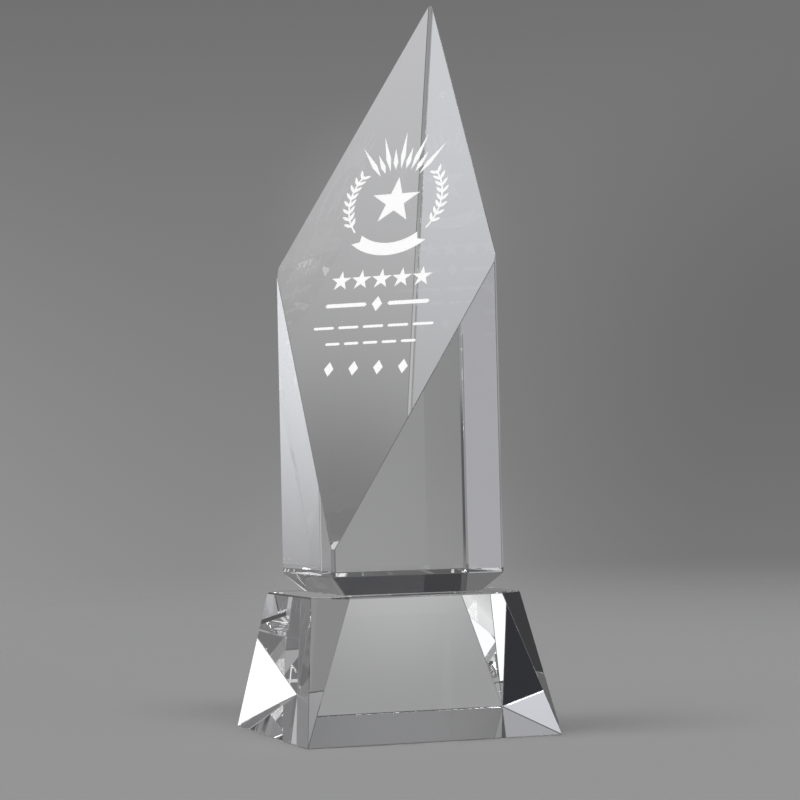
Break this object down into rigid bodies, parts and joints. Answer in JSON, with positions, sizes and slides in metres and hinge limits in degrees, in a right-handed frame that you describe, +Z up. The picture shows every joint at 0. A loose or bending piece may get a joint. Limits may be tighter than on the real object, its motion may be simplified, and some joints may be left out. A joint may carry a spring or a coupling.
{
  "type": "crystal award",
  "caption": "Clear crystal award: a square column with one long slanted facet carrying a white laurel and star engraving, bonded to a tapered base with cut corners.",
  "frame": {"origin": "centre of the underside of the base, on the plane that it stands on", "axes": "+Z up through the tip side of the column; X and Y square to the sides of the base; the low corner of the slanted facet points to -X -Y and the tip is over +X +Y"},
  "size_m": [0.0926, 0.0926, 0.27],
  "materials": {
    "base_crystal": "optically clear polished crystal, index about 1.545",
    "column_crystal": "optically clear polished crystal, index about 1.545",
    "clear_adhesive": "cured clear adhesive, index matched to the crystal",
    "white_paint": "matt white paint filled into fine blasted pockets"
  },
  "bodies": {
    "root": {"base": "base_crystal", "bond_film": "clear_adhesive", "column": "column_crystal", "star_fill": "white_paint", "rays_fill": "white_paint", "laurel_left_fill": "white_paint", "laurel_right_fill": "white_paint", "ribbon_fill": "white_paint", "star_row_fill": "white_paint", "title_rule_fill": "white_paint", "detail_rules_fill": "white_paint", "lozenge_row_fill": "white_paint"}
  },
  "joints": []
}
